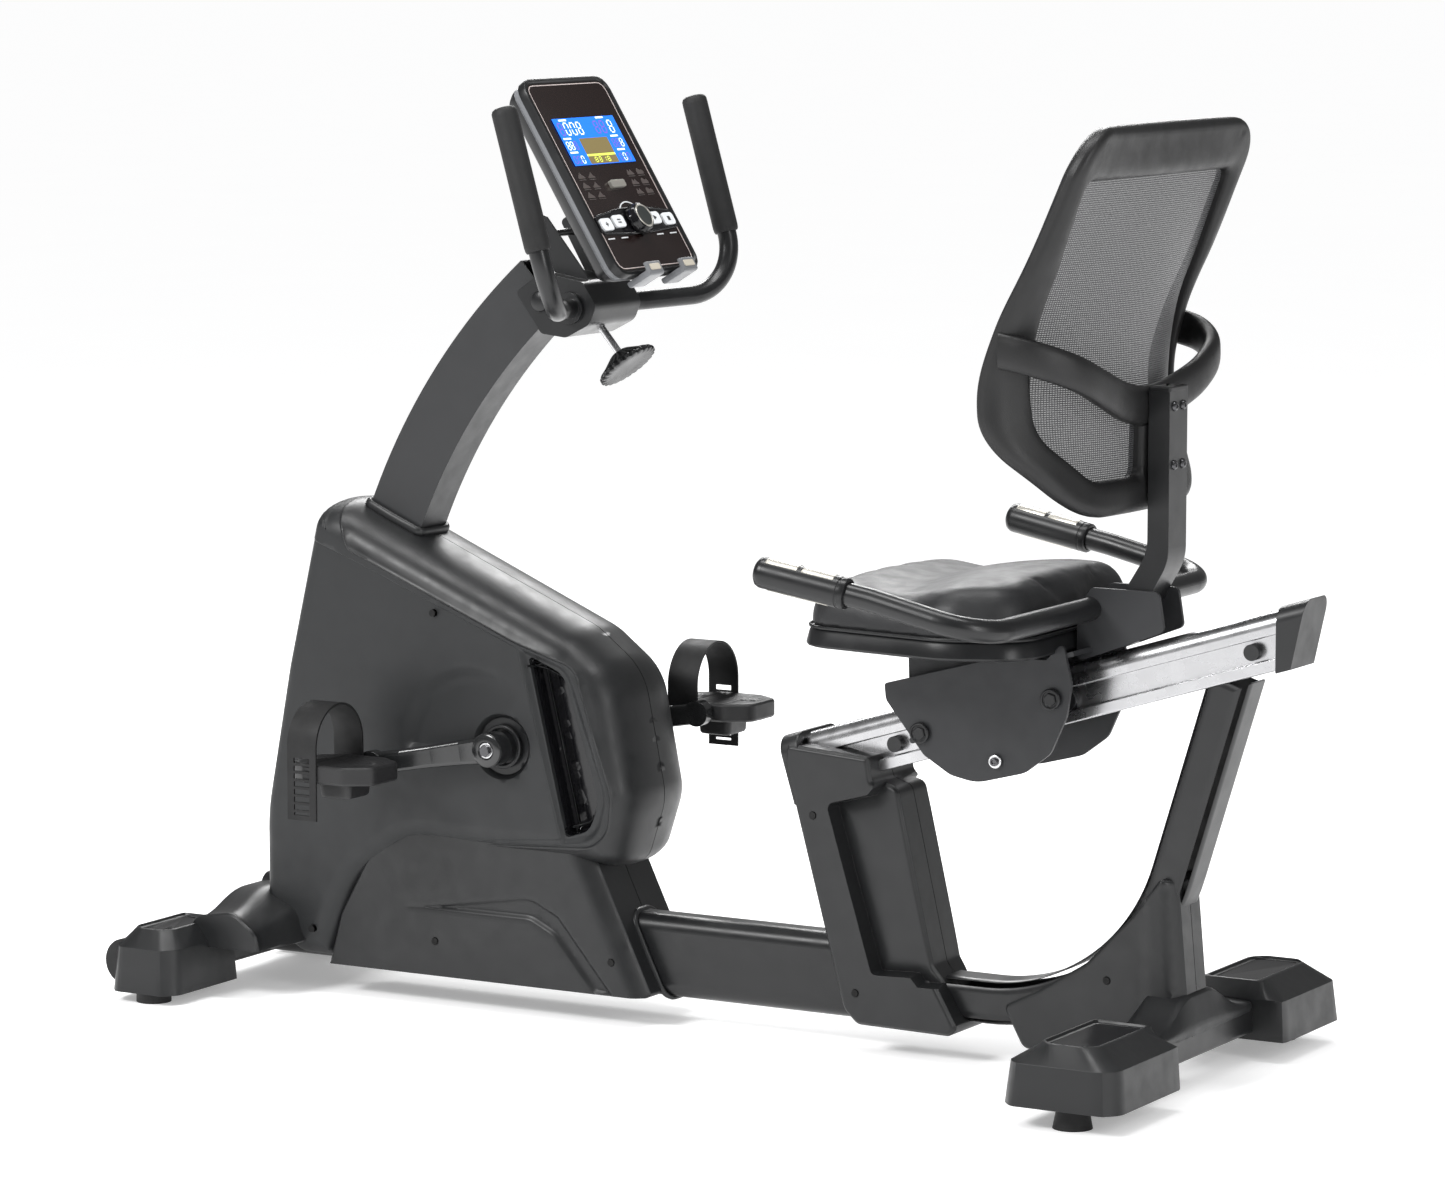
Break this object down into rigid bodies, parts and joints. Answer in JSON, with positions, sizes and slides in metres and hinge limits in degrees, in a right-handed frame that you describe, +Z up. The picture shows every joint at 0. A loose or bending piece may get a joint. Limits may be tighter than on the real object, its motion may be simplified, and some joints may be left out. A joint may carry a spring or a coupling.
{
  "type": "recumbent exercise bike",
  "caption": "Step-through recumbent exercise bike: enclosed flywheel drive, pedals with straps, sliding seat with mesh backrest and side grips, tilting console and handlebar.",
  "frame": {"origin": "on the floor, under the middle of the overall box", "axes": "+X to the rear (seat end), +Y to the rider's right, +Z up"},
  "size_m": [1.616, 0.7024, 1.208],
  "materials": {
    "frame_paint": "satin powder coat",
    "housing_plastic": "satin moulded plastic",
    "console_plastic": "gloss moulded plastic",
    "rail_aluminium": "brushed and anodised",
    "steel": "bright steel",
    "crank_paint": "gloss black",
    "pulley_plastic": "matt",
    "flywheel_iron": "machined rim",
    "belt_rubber": "matt",
    "pedal_plastic": "moulded grain",
    "foam": "closed-cell foam",
    "pad_rubber": "matt",
    "seat_vinyl": "grained vinyl",
    "back_mesh": "open mesh",
    "screen": "clear window over a blue display",
    "keys": "pale keys"
  },
  "bodies": {
    "frame": {"main_tube": "frame_paint", "front_stabiliser": "frame_paint", "rear_stabiliser": "frame_paint", "rail_post": "frame_paint", "seat_rail": "rail_aluminium", "rear_tube": "frame_paint", "drive_frame": "frame_paint", "crank_bearings": "steel", "mast": "frame_paint", "bar_head": "frame_paint", "drive_belt": "belt_rubber", "housing_left": "housing_plastic", "housing_right": "housing_plastic", "front_shroud": "housing_plastic", "post_cover_left": "housing_plastic", "post_cover_right": "housing_plastic", "rear_cover_left": "housing_plastic", "rear_cover_right": "housing_plastic", "front_caps": "housing_plastic", "rear_caps": "housing_plastic", "front_pads": "pad_rubber", "rail_fittings": "housing_plastic", "cover_screws": "steel"},
    "crank": {"crank_axle": "steel", "crank_arm_left": "crank_paint", "crank_arm_right": "crank_paint", "drive_pulley": "pulley_plastic"},
    "left_pedal": {"pedal_left": "pedal_plastic", "strap_left": "pedal_plastic"},
    "right_pedal": {"pedal_right": "pedal_plastic", "strap_right": "pedal_plastic"},
    "flywheel": {"flywheel": "flywheel_iron"},
    "idler": {"idler_pulley": "pulley_plastic"},
    "brake": {"brake_magnet": "flywheel_iron"},
    "carriage": {"carriage_frame": "frame_paint", "seat_cushion": "seat_vinyl", "seat_pan": "housing_plastic", "seat_handlebar": "frame_paint", "seat_grips": "foam", "backrest_post": "frame_paint", "backrest_frame": "housing_plastic", "backrest_mesh": "back_mesh"},
    "front_rollers": {"front_rollers": "pulley_plastic"},
    "rear_rollers": {"rear_rollers": "pulley_plastic"},
    "seat_lever": {"seat_lever": "frame_paint"},
    "handlebar": {"handlebar": "frame_paint", "handlebar_foam": "foam"},
    "clamp_knob": {"clamp_knob": "console_plastic"},
    "console": {"console_housing": "console_plastic", "console_screen": "screen"},
    "console_dial": {"console_dial": "console_plastic"},
    "console_key_1": {"console_key_1": "keys"},
    "console_key_2": {"console_key_2": "keys"},
    "console_key_3": {"console_key_3": "keys"},
    "console_key_4": {"console_key_4": "keys"},
    "console_button": {"console_button": "keys"},
    "rear_foot_left": {"rear_foot_left": "pad_rubber"},
    "rear_foot_right": {"rear_foot_right": "pad_rubber"},
    "transport_wheel_left": {"transport_wheel_left": "pad_rubber"},
    "transport_wheel_right": {"transport_wheel_right": "pad_rubber"}
  },
  "joints": [
    {"name": "crank_spin", "type": "hinge", "parent": "frame", "child": "crank", "pos_m": [-0.29, 0, 0.352], "axis": [0, 1, 0], "continuous": true},
    {"name": "left_pedal_spin", "type": "hinge", "parent": "crank", "child": "left_pedal", "pos_m": [-0.45762, -0.195, 0.32365], "axis": [0, 1, 0], "continuous": true},
    {"name": "right_pedal_spin", "type": "hinge", "parent": "crank", "child": "right_pedal", "pos_m": [-0.12238, 0.195, 0.38035], "axis": [0, 1, 0], "continuous": true},
    {"name": "flywheel_spin", "type": "hinge", "parent": "frame", "child": "flywheel", "pos_m": [-0.529, 0, 0.258], "axis": [0, 1, 0], "continuous": true},
    {"name": "idler_spin", "type": "hinge", "parent": "frame", "child": "idler", "pos_m": [-0.39827, 0, 0.2233], "axis": [0, 1, 0], "continuous": true},
    {"name": "brake_swing", "type": "hinge", "parent": "frame", "child": "brake", "pos_m": [-0.523, 0, 0.394], "axis": [0, 1, 0], "range_deg": [0, 5]},
    {"name": "seat_slide", "type": "slide", "parent": "frame", "child": "carriage", "axis": [0.9558, 0, 0.294], "range_m": [-0.03, 0.2]},
    {"name": "front_rollers_spin", "type": "hinge", "parent": "carriage", "child": "front_rollers", "pos_m": [0.30931, 0, 0.40787], "axis": [0, 1, 0], "continuous": true},
    {"name": "rear_rollers_spin", "type": "hinge", "parent": "carriage", "child": "rear_rollers", "pos_m": [0.48995, 0, 0.46345], "axis": [0, 1, 0], "continuous": true},
    {"name": "seat_lever_pull", "type": "hinge", "parent": "carriage", "child": "seat_lever", "pos_m": [0.437, 0.09, 0.41], "axis": [0, 1, 0], "range_deg": [-20, 0], "stiffness_Nm_per_rad": 2, "springref_deg": 8.59},
    {"name": "handlebar_tilt", "type": "hinge", "parent": "frame", "child": "handlebar", "pos_m": [-0.201, 0, 0.918], "axis": [0, 1, 0], "range_deg": [-12, 12]},
    {"name": "clamp_knob_turn", "type": "hinge", "parent": "frame", "child": "clamp_knob", "pos_m": [-0.186, 0, 0.886], "axis": [0.6428, 0, -0.766], "continuous": true},
    {"name": "console_tilt", "type": "hinge", "parent": "frame", "child": "console", "pos_m": [-0.245, 0, 1.01], "axis": [0, 1, 0], "range_deg": [-10, 10]},
    {"name": "console_dial_turn", "type": "hinge", "parent": "console", "child": "console_dial", "pos_m": [-0.13666, 0, 1.0281], "axis": [0.8526, 0, 0.5225], "continuous": true},
    {"name": "key_1_press", "type": "slide", "parent": "console", "child": "console_key_1", "axis": [-0.8526, 0, -0.5225], "range_m": [0, 0.0012], "stiffness_N_per_m": 600, "springref_m": -0.0005},
    {"name": "key_2_press", "type": "slide", "parent": "console", "child": "console_key_2", "axis": [-0.8526, 0, -0.5225], "range_m": [0, 0.0012], "stiffness_N_per_m": 600, "springref_m": -0.0005},
    {"name": "key_3_press", "type": "slide", "parent": "console", "child": "console_key_3", "axis": [-0.8526, 0, -0.5225], "range_m": [0, 0.0012], "stiffness_N_per_m": 600, "springref_m": -0.0005},
    {"name": "key_4_press", "type": "slide", "parent": "console", "child": "console_key_4", "axis": [-0.8526, 0, -0.5225], "range_m": [0, 0.0012], "stiffness_N_per_m": 600, "springref_m": -0.0005},
    {"name": "centre_button_press", "type": "slide", "parent": "console", "child": "console_button", "axis": [-0.8526, 0, -0.5225], "range_m": [0, 0.0012], "stiffness_N_per_m": 600, "springref_m": -0.0005},
    {"name": "rear_foot_left_turn", "type": "hinge", "parent": "frame", "child": "rear_foot_left", "pos_m": [0.633, -0.292, 0], "axis": [0, 0, 1], "continuous": true},
    {"name": "rear_foot_right_turn", "type": "hinge", "parent": "frame", "child": "rear_foot_right", "pos_m": [0.633, 0.292, 0], "axis": [0, 0, 1], "continuous": true},
    {"name": "transport_wheel_left_spin", "type": "hinge", "parent": "frame", "child": "transport_wheel_left", "pos_m": [-0.778, -0.231, 0.05], "axis": [0, 1, 0], "continuous": true},
    {"name": "transport_wheel_right_spin", "type": "hinge", "parent": "frame", "child": "transport_wheel_right", "pos_m": [-0.778, 0.231, 0.05], "axis": [0, 1, 0], "continuous": true}
  ],
  "couplings": [
    {"joint": "flywheel_spin", "follows": "crank_spin", "ratio": 7.8571},
    {"joint": "idler_spin", "follows": "crank_spin", "ratio": -6.875},
    {"joint": "front_rollers_spin", "follows": "seat_slide", "rad_per_m": 72.993},
    {"joint": "rear_rollers_spin", "follows": "seat_slide", "rad_per_m": 72.993}
  ]
}
